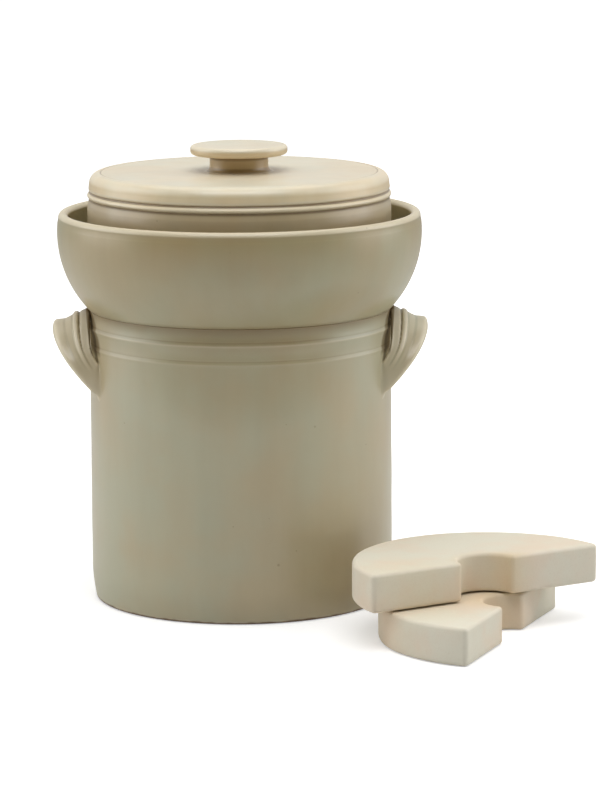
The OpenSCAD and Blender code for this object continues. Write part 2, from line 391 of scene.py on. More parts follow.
# Name, place, target, width and height, and power
LAMPS = (
    ("left_box", (-1.75, 0.1, 0.85), (0, 0, 0.15), (1.5, 1.7), 15.0),
    ("right_box", (1.75, 0.1, 0.85), (0, 0, 0.15), (1.5, 1.7), 14.9),
    ("top_box", (0, 0.35, 1.9), (0, 0, 0.1), (1.8, 1.6), 11.5),
    ("front_box", (0, -0.8, 1.7), (0, 0, 0.1), (1.6, 0.9), 18.0),
)


def smooth_step(x, low, high):
    """0 up to low, 1 from high, and a smooth rise between them."""
    t = np.clip((x - low) / (high - low), 0, 1)
    return t * t * (3 - 2 * t)


# Profiles


def arc(r, z, radius, start, end, count=12):
    """Points of an arc round (r, z), with angles in degrees."""
    angles = np.radians(np.linspace(start, end, count))
    return np.column_stack([r + radius * np.cos(angles), z + radius * np.sin(angles)])


def line(*points):
    return np.array(points, float)


def upright(z_values, r_of_z):
    """Points of a wall whose radius is a function of height."""
    return np.column_stack([r_of_z(z_values), z_values])


def dense(points, step):
    """The same line with no piece longer than step and no point twice."""
    out = [points[0]]
    for a, b in zip(points[:-1], points[1:]):
        length = np.linalg.norm(b - a)
        if length < 1e-6:
            continue
        n = math.ceil(length / step)
        out += [a + (b - a) * k / n for k in range(1, n + 1)]
    return np.array(out)


def bead(z, middle, height, width):
    """Round swelling of a wall at a height."""
    return height * np.exp(-(((z - middle) / width) ** 2))


def hollow(z, low, high, depth):
    """Shallow cove of a wall between two heights."""
    half = (high - low) / 2
    return -depth * np.clip(1 - ((z - low - half) / half) ** 2, 0, None)


def convexity(points, closed):
    """How far a profile stands out at each point, from -1 in a groove to 1 on an edge."""
    n = len(points)
    path = np.vstack([points, points, points]) if closed else points
    s = np.concatenate([[0], np.cumsum(np.linalg.norm(np.diff(path, axis=0), axis=1))])

    def shifted(by):
        return np.column_stack([np.interp(s + by, s, path[:, k]) for k in (0, 1)])

    before, after = shifted(-EDGE_REACH), shifted(EDGE_REACH)
    along = after - before
    out = np.column_stack([along[:, 1], -along[:, 0]])
    out /= np.maximum(np.linalg.norm(out, axis=1), 1e-9)[:, None]
    stand = ((path - (before + after) / 2) * out).sum(axis=1) / EDGE_REACH
    stand = np.clip(EDGE_GAIN * stand, -1, 1)
    return stand[n : 2 * n] if closed else stand


# Meshes


def set_edge(mesh, edge):
    """Keeps how far each point stands out, for the materials."""
    attribute = mesh.attributes.new("edge", "FLOAT", "POINT")
    attribute.data.foreach_set("value", np.asarray(edge, np.float32))


def add_object(name, verts_mm, faces, edge=None):
    """Mesh object from points in mm, with the edge value of each point."""
    mesh = bpy.data.meshes.new(name)
    mesh.from_pydata((np.asarray(verts_mm) * MM).tolist(), [], faces)
    mesh.update()
    if edge is not None:
        set_edge(mesh, edge)
    mesh.shade_smooth()
    obj = bpy.data.objects.new(name, mesh)
    bpy.context.scene.collection.objects.link(obj)
    return obj


def tube_faces(index):
    """Faces between the rows of a grid of point numbers, with each row closed on itself."""
    low, high = index[:-1], index[1:]
    quads = np.stack([low, np.roll(low, -1, 1), np.roll(high, -1, 1), high], axis=2)
    return quads.reshape(-1, 4).tolist()


def lathe(name, points, closed, angles=None, reshape=None):
    """Turned mesh. An open profile starts and ends on the axis."""
    if angles is None:
        angles = np.linspace(0, 2 * np.pi, SEGMENTS, endpoint=False)
    stand = convexity(points, closed)
    ring = points if closed else points[1:-1]
    ring_stand = stand if closed else stand[1:-1]
    n, m = len(ring), len(angles)
    verts = np.empty((n, m, 3))
    verts[..., 0] = ring[:, :1] * np.cos(angles)
    verts[..., 1] = ring[:, :1] * np.sin(angles)
    verts[..., 2] = ring[:, 1:]
    verts = verts.reshape(-1, 3)
    edge = np.repeat(ring_stand, m)
    index = np.arange(n * m).reshape(n, m)
    if closed:
        index = np.vstack([index, index[:1]])
    faces = tube_faces(index)
    if not closed:
        first, last = n * m, n * m + 1
        verts = np.vstack([verts, [0, 0, points[0][1]], [0, 0, points[-1][1]]])
        edge = np.append(edge, [0, 0])
        bottom, top = index[0], index[-1]
        faces += [[first, b, a] for a, b in zip(bottom.tolist(), np.roll(bottom, -1).tolist())]
        faces += [[last, a, b] for a, b in zip(top.tolist(), np.roll(top, -1).tolist())]
    if reshape is not None:
        verts = reshape(verts)
    return add_object(name, verts, faces, edge)


def wall_r(z):
    """Outside radius of the pot's wall above its foot, with rings, lines and coves."""
    r = np.full_like(z, BODY_R)
    r += hollow(z, RING_LOW_Z, RING_HIGH_Z, BAND_DEPTH) + hollow(z, RING_HIGH_Z, SHOULDER_Z, COVE_DEPTH)
    for ring_z in (RING_LOW_Z, RING_HIGH_Z):
        r += bead(z, ring_z, RING_SWELL, RING_WIDTH) - bead(z, ring_z + LINE_ABOVE, LINE_DEPTH, LINE_WIDTH)
    return r


def foot_r(z):
    """Outside radius where the wall draws in towards the foot."""
    return BODY_R - FOOT_CURVE_R + np.sqrt(FOOT_CURVE_R**2 - (FOOT_CURVE_Z - z) ** 2)


def thrown(verts):
    """The slight unevenness of a pot thrown by hand, away from the handles."""
    angle = np.arctan2(verts[:, 1], verts[:, 0])
    z = verts[:, 2]
    wave = sum(np.sin(turns * angle + z / pitch + phase) for turns, pitch, phase in UNEVEN_WAVES)
    share = smooth_step(z, *UNEVEN_IN) * (1 - smooth_step(z, *UNEVEN_OUT))
    swell = (UNEVEN + UNEVEN_WAVE * wave) * share
    out = verts.copy()
    out[:, 0] += swell * np.cos(angle)
    out[:, 1] += swell * np.sin(angle)
    return out


def pot_profile():
    """Section of the pot from the middle of its underside, round its wall and neck, to its floor."""
    inside_r = BODY_R - WALL
    mouth_r = NECK_R - NECK_WALL
    lip_r = NECK_WALL / 2
    low_edge_r = float(foot_r(FOOT_EDGE_R))
    rings_z = RING_LOW_Z - RING_MARGIN
    waves = np.arange(FLOOR_Z + INNER_FILLET, SLOPE_TOP_Z - SLOPE_H, WAVE_STEP)[::-1]
    inner = np.column_stack([inside_r + THROW_DEPTH * (np.cos(2 * np.pi * waves / THROW_PITCH) - 1), waves])
    floor = np.arange(inside_r - INNER_FILLET, 0.5, -FLOOR_STEP)
    rings = FLOOR_Z + THROW_DEPTH * (np.cos(2 * np.pi * floor / THROW_PITCH) - 1)
    neck = line((NECK_R + 2, SHOULDER_Z), (NECK_R, SHOULDER_Z), (NECK_R, NECK_TOP_Z - lip_r - 0.5))
    return np.vstack(
        [
            dense(line((0, 0), (low_edge_r - FOOT_EDGE_R, 0)), 6),
            arc(low_edge_r - FOOT_EDGE_R, FOOT_EDGE_R, FOOT_EDGE_R, -90, 0, 8)[1:-1],
            upright(np.arange(FOOT_EDGE_R, FOOT_CURVE_Z, FOOT_STEP), foot_r),
            upright(np.arange(FOOT_CURVE_Z, rings_z, WALL_STEP), wall_r),
            upright(np.arange(rings_z, SHOULDER_Z - SEAM_R, RING_STEP), wall_r),
            arc(BODY_R - SEAM_R, SHOULDER_Z - SEAM_R, SEAM_R, 0, 90, 6),
            dense(neck, 4),
            arc(mouth_r + lip_r, NECK_TOP_Z - lip_r, lip_r, 0, 180, 18),
            dense(line((mouth_r, NECK_TOP_Z - lip_r - 1), (mouth_r, SLOPE_TOP_Z)), 4),
            dense(line((mouth_r + 0.2, SLOPE_TOP_Z - 0.7), (inside_r, SLOPE_TOP_Z - SLOPE_H)), 3),
            inner,
            arc(inside_r - INNER_FILLET, FLOOR_Z + INNER_FILLET, INNER_FILLET, 0, -90, 14)[1:-1],
            np.column_stack([floor, rings]),
            line((0, FLOOR_Z)),
        ]
    )


def bowl_profile():
    """Closed section of the gutter: seam edge, round outside, rolled rim, inside and channel floor."""
    belly_h = BELLY_Z - SHOULDER_Z
    rise = BOWL_R - BODY_R
    arc_r = (belly_h**2 + rise**2) / (2 * rise)
    centre_r = BOWL_R - arc_r
    rim_z = BOWL_TOP_Z - RIM_R
    rim_r = centre_r + math.sqrt((arc_r - GUTTER_WALL / 2) ** 2 - (rim_z - BELLY_Z) ** 2)

    def angle_at(z, radius):
        return math.degrees(math.asin((z - BELLY_Z) / radius))

    inner_r = arc_r - GUTTER_WALL
    seam_angle = angle_at(SHOULDER_Z + SEAM_R + 0.2, arc_r)
    floor_angle = angle_at(CHANNEL_FLOOR_Z + CHANNEL_RISE, inner_r)
    wall_foot = centre_r + inner_r * math.cos(math.radians(floor_angle))
    return np.vstack(
        [
            dense(line((JOINT_R, SHOULDER_Z), (BODY_R - SEAM_R, SHOULDER_Z)), 3),
            arc(BODY_R - SEAM_R + 0.1, SHOULDER_Z + SEAM_R, SEAM_R, -80, -15, 5),
            arc(centre_r, BELLY_Z, arc_r, seam_angle, angle_at(rim_z - RIM_BLEND, arc_r), 60),
            arc(rim_r, rim_z, RIM_R, -12, 192, 30),
            arc(centre_r, BELLY_Z, inner_r, angle_at(rim_z - RIM_BLEND, inner_r), floor_angle, 40),
            arc(wall_foot - CHANNEL_FILLET, CHANNEL_FLOOR_Z + CHANNEL_FILLET, CHANNEL_FILLET, -12, -90, 7),
            dense(line((NECK_R + 3, CHANNEL_FLOOR_Z), (JOINT_R, CHANNEL_FLOOR_Z)), 2),
            dense(line((JOINT_R, CHANNEL_FLOOR_Z - 2), (JOINT_R, SHOULDER_Z + 2)), 3),
        ]
    )


def lid_side_r(z):
    """Outside radius of the lid: plain skirt, two grooves with a round bead between them, tapered edge."""
    taper = np.clip((z - TAPER_LOW_Z) / (LID_TOP_Z - LID_EDGE_R - TAPER_LOW_Z), 0, None)
    r = LID_R - DRAW_IN * taper
    r -= bead(z, GROOVE_HIGH_Z, GROOVE_DEPTH, GROOVE_WIDTH)
    r -= bead(z, GROOVE_LOW_Z, GROOVE_DEPTH, np.where(z < GROOVE_LOW_Z, GROOVE_RUNOUT, GROOVE_WIDTH))
    return r + bead(z, (GROOVE_LOW_Z + GROOVE_HIGH_Z) / 2, BEAD_PROUD, BEAD_WIDTH)


def lid_profile():
    """Section of the lid from the middle of its ceiling, round its skirt and grooves, to its top."""
    inside_r = LID_R - SKIRT_WALL
    ceiling_z = LID_TOP_Z - PLATE
    edge_z = LID_TOP_Z - LID_EDGE_R
    edge_r = LID_R - DRAW_IN - LID_EDGE_R
    low = LID_LOW_Z + SKIRT_EDGE_R
    line_r = LID_R - TOP_LINE_IN
    fine_top = np.arange(edge_r - TOP_STEP, line_r - 3, -TOP_STEP)
    top = np.concatenate([fine_top, np.arange(line_r - 3, 1, -PLAIN_STEP)])
    top_z = LID_TOP_Z - bead(top, line_r, TOP_LINE_DEPTH, TOP_LINE_WIDTH)
    return np.vstack(
        [
            dense(line((0, ceiling_z), (inside_r - LID_FILLET, ceiling_z)), 5),
            arc(inside_r - LID_FILLET, ceiling_z - LID_FILLET, LID_FILLET, 90, 0, 10)[1:],
            dense(line((inside_r, ceiling_z - LID_FILLET - 2), (inside_r, low + 0.3)), 3),
            arc(inside_r + SKIRT_EDGE_R, low, SKIRT_EDGE_R, 180, 270, 7),
            arc(LID_R - SKIRT_EDGE_R, low, SKIRT_EDGE_R, 270, 360, 7),
            upright(np.arange(low + 1, TAPER_LOW_Z - 5, PLAIN_STEP), lid_side_r),
            upright(np.arange(TAPER_LOW_Z - 4, edge_z, GROOVE_STEP), lid_side_r),
            arc(edge_r, edge_z, LID_EDGE_R, 3, 90, 16),
            np.column_stack([top, top_z]),
            line((0, LID_TOP_Z)),
        ]
    )


def vented(verts):
    """Raises the skirt's lower edge over two half-round vents at the front and the back."""
    x, z = np.abs(verts[:, 0]), verts[:, 2]
    radius = np.hypot(verts[:, 0], verts[:, 1])
    near = (x < VENT_R) & (z < LID_LOW_Z + VENT_BLEND) & (radius > LID_R - SKIRT_WALL - 1)
    lift = np.sqrt(np.clip(VENT_R**2 - x**2, 0, None))
    out = verts.copy()
    out[near, 2] = (LID_LOW_Z + lift + (z - LID_LOW_Z) * (VENT_BLEND - lift) / VENT_BLEND)[near]
    return out


def lid_angles():
    """Angles round the lid, closer together at the vents."""
    even = np.linspace(0, 2 * np.pi, SEGMENTS, endpoint=False)
    half = math.asin(VENT_SPAN * VENT_R / LID_R)
    fine = np.linspace(-half, half, VENT_POINTS)
    vents = (np.pi / 2, 3 * np.pi / 2)
    keep = [a for a in even if all(abs(a - side) > half * VENT_CLEAR for side in vents)]
    return np.sort(np.concatenate([keep] + [side + fine for side in vents]))


def knob_profile():
    """Turned knob: rounded foot, straight stem, disc with a round edge and a shallow dish."""
    low_z = KNOB_LOW_Z - KNOB_SINK
    edge_z = KNOB_TOP_Z - KNOB_EDGE_R
    under_z = KNOB_TOP_Z - KNOB_T
    edge_r = KNOB_R - KNOB_EDGE_R
    under_edge_z = under_z + KNOB_SLOPE
    top = np.arange(edge_r - 0.6, 1, -1.5)
    dish = KNOB_TOP_Z - KNOB_DISH * (1 - smooth_step(top, DISH_FLAT_R, edge_r - 1))
    return np.vstack(
        [
            dense(line((0, low_z), (STEM_R + FOOT_FLARE, low_z)), 4),
            arc(STEM_R + FOOT_FLARE, KNOB_LOW_Z + FOOT_FLARE, FOOT_FLARE, 270, 180, 10),
            arc(STEM_R + NECK_FLARE, under_z - NECK_FLARE, NECK_FLARE, 180, 100, 10),
            dense(line((STEM_R + NECK_FLARE + 0.5, under_z), (edge_r - 0.8, under_edge_z)), 1),
            arc(edge_r, under_edge_z + KNOB_EDGE_R, KNOB_EDGE_R, -75, 0, 10),
            arc(edge_r, edge_z, KNOB_EDGE_R, 4, 90, 12),
            np.column_stack([top, dish]),
            line((0, KNOB_TOP_Z - KNOB_DISH)),
        ]
    )


def neighbours(mesh):
    """Pairs of joined points of a mesh."""
    pairs = np.empty(len(mesh.edges) * 2, np.int32)
    mesh.edges.foreach_get("vertices", pairs)
    return pairs.reshape(-1, 2)


def smoothed(points, pairs, share, rounds):
    """Points after so many rounds of each moving towards the mean of its neighbours."""
    count = np.maximum(np.bincount(pairs.ravel(), minlength=len(points)), 1)[:, None]
    for _ in range(rounds):
        total = np.column_stack(
            [
                np.bincount(pairs[:, 0], points[pairs[:, 1], k], len(points))
                + np.bincount(pairs[:, 1], points[pairs[:, 0], k], len(points))
                for k in range(3)
            ]
        )
        points = points + share * (total / count - points)
    return points


def strap_section(rib_share):
    """Section of a strap as (share of its width, height): the pressed face, then the plain underside."""
    u_top = np.linspace(0, 1, FACE_POINTS)
    power = np.where(u_top < 0.5, INNER_POWER, LIP_POWER)
    round_end = STRAP_T / 2 * np.sqrt(1 - np.abs(2 * u_top - 1) ** power)
    top = np.column_stack([u_top, round_end + rib_share * np.interp(u_top, RIB_SHARES, RIB_HEIGHTS)])
    u_under = np.linspace(1, 0, UNDER_POINTS)[1:-1]
    under = np.column_stack([u_under, -STRAP_T / 2 * np.sqrt(1 - np.abs(2 * u_under - 1) ** UNDER_POWER)])
    return np.vstack([top, under])


def strap_mesh():
    """Strap of the right handle, swept round its arch. Its ribs run out towards the roots."""
    t = np.radians(np.linspace(-ARCH_ANGLE, ARCH_ANGLE, STRAP_SECTIONS))
    side = HANDLE_SPAN / 2 * np.sin(t)
    root_dip = BODY_R - math.sqrt(BODY_R**2 - (HANDLE_SPAN / 2) ** 2)
    sunk = np.abs(np.sin(np.clip(t, -np.pi / 2, np.pi / 2))) ** EDGE_HOLD
    edge_x = BODY_R + HANDLE_SLIT - (HANDLE_SLIT + root_dip + ROOT_BURY + ROOT_WIDTH) * sunk
    lip_x = np.maximum(BODY_R + HANDLE_REACH * (1 - (1 - np.cos(t)) ** LIP_HOLD), edge_x + ROOT_WIDTH)
    lip = np.column_stack([lip_x, side, ROOT_Z + (HANDLE_RISE - HANDLE_FALL) * np.cos(t)])
    edge = np.column_stack([edge_x, side, ROOT_Z + HANDLE_RISE * np.cos(t)])
    out = np.column_stack([np.zeros_like(t), HANDLE_RISE * np.sin(t), HANDLE_SPAN / 2 * np.cos(t)])
    out /= np.linalg.norm(out, axis=1)[:, None]
    rib_share = 1 - smooth_step(np.degrees(np.abs(t)), *RIB_FADE)
    sections = np.array([strap_section(share) for share in rib_share])
    thin = 1 - ROOT_THIN * smooth_step(np.degrees(np.abs(t)), *THIN_FADE)
    u, h = sections[..., :1], sections[..., 1:] * thin[:, None, None]
    verts = edge[:, None] + u * (lip - edge)[:, None] + h * out[:, None]
    n, m = verts.shape[:2]
    index = np.arange(n * m).reshape(n, m)
    faces = tube_faces(index) + [index[0][::-1].tolist(), index[-1].tolist()]
    return verts.reshape(-1, 3), faces


def wall_patch():
    """Curved slab that lies in the wall behind the handle."""
    angles = np.radians(np.linspace(-PATCH_ANGLE, PATCH_ANGLE, PATCH_COLUMNS))
    heights = np.linspace(*PATCH_Z, PATCH_ROWS)
    radii = (BODY_R - PATCH_DEPTH - PATCH_T, BODY_R - PATCH_DEPTH)
    grids = [
        np.array([[r * math.cos(a), r * math.sin(a), z] for z in heights for a in angles]) for r in radii
    ]
    n, m = len(heights), len(angles)
    index = np.arange(n * m).reshape(n, m)
    front = np.stack([index[:-1, :-1], index[:-1, 1:], index[1:, 1:], index[1:, :-1]], axis=2).reshape(-1, 4)
    rim = np.concatenate([index[0, :-1], index[:-1, -1], index[-1, :0:-1], index[:0:-1, 0]])
    size = n * m
    faces = (front + size).tolist() + front[:, ::-1].tolist()
    faces += [[a, b, b + size, a + size] for a, b in zip(rim.tolist(), np.roll(rim, -1).tolist())]
    return np.vstack(grids), faces


def handle(name, mirror):
    """Strap joined to the wall with smoothed clay, as one mesh that ends under the wall's face."""
    strap_verts, strap_faces = strap_mesh()
    patch_verts, patch_faces = wall_patch()
    shift = len(strap_verts)
    faces = strap_faces + [[i + shift for i in f] for f in patch_faces]
    rough = add_object(name + ".rough", np.vstack([strap_verts, patch_verts]), faces)
    remesh = rough.modifiers.new("join", "REMESH")
    remesh.mode = "VOXEL"
    remesh.voxel_size = VOXEL * MM
    mesh = bpy.data.meshes.new_from_object(rough.evaluated_get(bpy.context.evaluated_depsgraph_get()))
    bpy.data.objects.remove(rough)
    points = np.empty(len(mesh.vertices) * 3)
    mesh.vertices.foreach_get("co", points)
    points = points.reshape(-1, 3) / MM
    pairs = neighbours(mesh)
    points = smoothed(points, pairs, SMOOTHING, STRAP_ROUNDS)
    clear = np.hypot(points[:, 0], points[:, 1]) - BODY_R
    low_part = 1 - smooth_step(points[:, 2], *ROOT_HEIGHT)
    near = (1 - smooth_step(clear, *ROOT_CLEAR)) * low_part
    points = smoothed(points, pairs, SMOOTHING * near[:, None], ROOT_ROUNDS)
    faces = [list(p.vertices) for p in mesh.polygons]
    bpy.data.meshes.remove(mesh)
    return trimmed_handle(name, points, faces, pairs, mirror)


def closed_under(points, faces):
    """Sinks each open edge into the wall and caps it. Also gives the next point along each open edge."""
    directed = {(a, b) for f in faces for a, b in zip(f, f[1:] + f[:1])}
    after = {a: b for a, b in sorted(directed) if (b, a) not in directed}
    number = {point: len(points) + k for k, point in enumerate(after)}
    sunk = points[list(after)]
    sunk[:, :2] *= 1 - ROOT_SINK / np.hypot(sunk[:, 0], sunk[:, 1])[:, None]
    sides = [[b, a, number[a], number[b]] for a, b in after.items()]
    caps, left = [], set(after)
    while left:
        loop = [min(left)]
        while after[loop[-1]] != loop[0]:
            loop.append(after[loop[-1]])
        left -= set(loop)
        caps.append([number[point] for point in reversed(loop)])
    return np.vstack([points, sunk]), faces + sides + caps, after


def trimmed_handle(name, points, faces, pairs, mirror):
    """Keeps what stands out of the wall, and works out how far each point stands out of its surroundings."""
    clear = np.hypot(points[:, 0], points[:, 1]) - BODY_R
    blurred = smoothed(points, pairs, SMOOTHING, EDGE_ROUNDS)
    shown = [f for f in faces if max(clear[i] for i in f) > -PATCH_TRIM * PATCH_DEPTH]
    used = np.unique(np.concatenate(shown))
    new_index = np.full(len(points), -1)
    new_index[used] = np.arange(len(used))
    drift = (points - blurred)[used]
    shown = [[int(new_index[i]) for i in f] for f in shown]
    verts, shown, after = closed_under(points[used], shown)
    drift = np.vstack([drift, np.zeros((len(verts) - len(drift), 3))])
    if mirror:
        verts = verts * [-1, 1, 1]
        drift = drift * [-1, 1, 1]
        shown = [f[::-1] for f in shown]
    obj = add_object(name, verts, shown)
    for side in obj.data.edges:
        a, b = side.vertices
        side.use_edge_sharp = after.get(a) == b or after.get(b) == a
    normals = np.empty(len(verts) * 3)
    obj.data.vertices.foreach_get("normal", normals)
    stand = (normals.reshape(-1, 3) * drift).sum(axis=1)
    # The whole strap is shifted towards the pale edge tone: painted light on straps that face up and out.
    gain = np.where(stand < 0, GROOVE_GAIN, RIB_GAIN)
    set_edge(obj.data, np.clip(HANDLE_PAINTED_LIGHT + gain * stand, -1, 1))
    return obj


def moon_outline(inset):
    """Outline of a half-moon stone drawn in by inset, anticlockwise, with as many points for any inset."""
    corner = STONE_CORNER_R - inset
    outer_x = math.sqrt((STONE_R - STONE_CORNER_R) ** 2 - STONE_CORNER_R**2)
    notch_x = math.sqrt((NOTCH_R + STONE_CORNER_R) ** 2 - STONE_CORNER_R**2)
    outer_a = math.degrees(math.atan2(STONE_CORNER_R, outer_x))
    notch_a = math.degrees(math.atan2(STONE_CORNER_R, notch_x))
    xs = np.linspace(outer_x, notch_x, 20)
    cut = np.column_stack([xs, np.full_like(xs, inset)])
    return np.vstack(
        [
            arc(0, 0, STONE_R - inset, outer_a, 180 - outer_a, 110),
            arc(-outer_x, STONE_CORNER_R, corner, 180 - outer_a, 270, 8)[1:],
            (cut * [-1, 1])[1:-1],
            arc(-notch_x, STONE_CORNER_R, corner, 270, 360 - notch_a, 8),
            arc(0, 0, NOTCH_R + inset, 180 - notch_a, notch_a, 48)[1:-1],
            arc(notch_x, STONE_CORNER_R, corner, 180 + notch_a, 270, 8),
            cut[::-1][1:-1],
            arc(outer_x, STONE_CORNER_R, corner, 270, 360 + outer_a, 8)[:-1],
        ]
    )


def uneven(verts, phase):
    """Draws a stone's points in by a little that differs from place to place."""
    x, y, z = (verts / STONE_WAVES).T
    inset = STONE_UNEVEN * (2 + np.sin(x + phase) + np.sin(y + z + phase))
    towards = np.array([0, STONE_R / 2]) - verts[:, :2]
    towards /= np.linalg.norm(towards, axis=1)[:, None]
    verts[:, :2] += towards * inset[:, None]


def stone(name, place, turn, phase, height):
    """Half-moon pressing stone with rounded edges and faces that are not quite flat."""
    bends = np.radians(np.linspace(0, 90, 7))
    low = [(STONE_EDGE_R * (1 - math.sin(a)), STONE_EDGE_R * (1 - math.cos(a))) for a in bends]
    walls = [(0.0, z) for z in np.linspace(STONE_EDGE_R, height - STONE_EDGE_R, 9)[1:-1]]
    high = [(d, height - z) for d, z in low[::-1]]
    layers = [(STONE_FACE_IN, 0.0)] + low + walls + high + [(STONE_FACE_IN, height)]
    rings = [np.column_stack([moon_outline(d), np.full(len(moon_outline(d)), z)]) for d, z in layers]
    n, m = len(rings), len(rings[0])
    verts = np.vstack(rings)
    bent = [math.sin(2 * a) for a in bends]
    stand = [0] + bent + [0] * len(walls) + bent + [0]
    index = np.arange(n * m).reshape(n, m)
    faces = tube_faces(index) + [index[0][::-1].tolist(), index[-1].tolist()]
    uneven(verts, phase)
    c, s = math.cos(math.radians(turn)), math.sin(math.radians(turn))
    verts[:, :2] = verts[:, :2] @ np.array([[c, s], [-s, c]])
    return add_object(name, verts + np.array(place), faces, np.repeat(stand, m))


# Materials


class Shader:
    """Builds one material from nodes."""

    def __init__(self, name):
        self.material = bpy.data.materials.new(name)
        self.material.use_nodes = True
        self.tree = self.material.node_tree
        self.tree.nodes.clear()
        self.coords = self.add("TexCoord").outputs["Object"]
        self.place = self.add("SeparateXYZ", {"Vector": self.coords}).outputs

    def add(self, kind, inputs=None, **settings):
        """Node with its settings, and a value or a link for each input."""
        node = self.tree.nodes.new("ShaderNode" + kind)
        for key, value in settings.items():
            setattr(node, key, value)
        for key, value in (inputs or {}).items():
            self.put(node.inputs[key], value)
        return node

    def put(self, socket, value):
        if isinstance(value, bpy.types.NodeSocket):
            self.tree.links.new(value, socket)
        else:
            socket.default_value = value

    def math(self, operation, a, b=0.0):
        node = self.add("Math", operation=operation)
        self.put(node.inputs[0], a)
        self.put(node.inputs[1], b)
        return node.outputs[0]

    def rise(self, value, low, high, top=1.0):
        """0 up to low and top from high, with a smooth rise between them."""
        inputs = {"Value": value, "From Min": low, "From Max": high, "To Max": top}
        return self.add("MapRange", inputs, interpolation_type="SMOOTHSTEP").outputs["Result"]

    def noise(self, scale, detail=2.0, vector=None):
        inputs = {"Vector": vector or self.coords, "Scale": scale, "Detail": detail}
        return self.add("TexNoise", {**inputs, "Roughness": NOISE_ROUGHNESS}).outputs["Fac"]

    def stretched(self, x, y, z):
        return self.add("Mapping", {"Vector": self.coords, "Scale": (x, y, z)}).outputs["Vector"]

    def blend(self, factor, a, b, kind="MIX"):
        node = self.add("Mix", data_type="RGBA", blend_type=kind)
        self.put(node.inputs[0], factor)
        self.put(node.inputs[6], a)
        self.put(node.inputs[7], b)
        return node.outputs[2]

    def edge(self):
        """How far the mesh stands out, from its points."""
        return self.add("Attribute", attribute_name="edge").outputs["Fac"]

    def dots(self, scale, size, share):
        """Scattered round dots: 1 inside a dot."""
        cells = self.add("TexVoronoi", {"Vector": self.coords, "Scale": scale, "Randomness": 1.0})
        draw = self.add("SeparateColor", {"Color": cells.outputs["Color"]}).outputs[0]
        picked = self.math("GREATER_THAN", draw, 1 - share)
        return self.math("MULTIPLY", self.rise(cells.outputs["Distance"], size, size * DOT_CORE), picked)

    def far(self, axes, middle, reach):
        """Square of the distance from a place, as a share of the reach along two axes."""
        across, along = (
            self.math("DIVIDE", self.math("SUBTRACT", self.place[axis], place), size)
            for axis, place, size in zip(axes, middle, reach)
        )
        return self.math("ADD", self.math("MULTIPLY", across, across), self.math("MULTIPLY", along, along))

    def patch(self, axes, middle, reach, strength):
        """Ragged soft patch round a place, seen along the third axis."""
        ragged = self.math("ADD", self.far(axes, middle, reach), self.noise(RAGGED_SCALE, 3.0))
        return self.rise(ragged, *RAGGED_RANGE, strength)

    def band(self, low, high, soft):
        """1 between two heights and 0 beyond, with soft ends."""
        above = self.rise(self.place["Z"], low - soft, low + soft)
        return self.math("MULTIPLY", above, self.rise(self.place["Z"], high + soft, high - soft))

    def strap_pocket(self, low):
        """Mask of the sheltered wall close behind the straps, down to a height, for painted shade and duller
        glaze there.
        """
        up = self.place["Z"]
        far = self.far("YZ", (0.0, ROOT_Z * MM), (HANDLE_SPAN / 2 * MM, HANDLE_RISE * MM))
        lean = self.math("MULTIPLY", self.math("SUBTRACT", POCKET_LEAN_Z, up), POCKET_LEAN)
        out = self.math("ADD", self.math("ABSOLUTE", self.place["X"]), lean)
        sides = self.math("MULTIPLY", self.rise(far, *POCKET_FAR), self.rise(out, *POCKET_OUT))
        ends = self.math("MULTIPLY", self.rise(up, low, low + POCKET_FADE), self.rise(up, *POCKET_TOP))
        return self.math("MULTIPLY", sides, ends)

    def bump(self, height, distance, strength, normal=None):
        inputs = {"Height": height, "Distance": distance, "Strength": strength}
        if normal is not None:
            inputs["Normal"] = normal
        return self.add("Bump", inputs).outputs["Normal"]

    def finish(self, color, roughness, normal, gloss, ior):
        """Joins everything in one shader. Constant values are set on the shader itself."""
        inputs = {"Base Color": color, "Roughness": roughness, "Normal": normal}
        shader = self.add("BsdfPrincipled", {**inputs, "Specular IOR Level": gloss, "IOR": ior})
        self.add("OutputMaterial", {"Surface": shader.outputs["BSDF"]})
        return self.material


def clouded(s, tones, bands):
    """Cool and warm clouds, a flash of the kiln low on the right, darkened patches that are mostly painted
    shade and dark reflections, runs, and tinted bands, on the lid partly painted shade and painted light.
    """
    color = s.blend(s.rise(s.noise(CLOUD_SCALE, 3.0), *CLOUD_RANGE), tones["cool"], tones["warm"])
    color = s.blend(s.rise(s.noise(BLOTCH_SCALE, 3.0), *BLOTCH_RANGE), color, tones["flash"])
    low_right = s.math("SUBTRACT", s.place["X"], s.math("MULTIPLY", s.place["Z"], FLASH_LEAN))
    low_right = s.math("ADD", low_right, s.math("MULTIPLY", s.noise(FLASH_SCALE, 2.0), FLASH_RAGGED))
    color = s.blend(s.rise(low_right, *FLASH_RANGE), color, tones["flash"])
    # Darkened patches, mostly painted shade and dark reflections.
    for middle, reach, strength in DARKENED_PATCHES:
        color = s.blend(s.patch("XZ", middle, reach, strength), color, DARK_PATCH_TINT, "MULTIPLY")
    runs = s.noise(1.0, 3.0, s.stretched(*RUN_STRETCH))
    color = s.blend(s.rise(runs, *RUN_RANGE), color, tones["pooled_and_shade"])
    for low, high, soft, tint in bands:
        color = s.blend(s.band(low, high, soft), color, tint, "MULTIPLY")
    return color


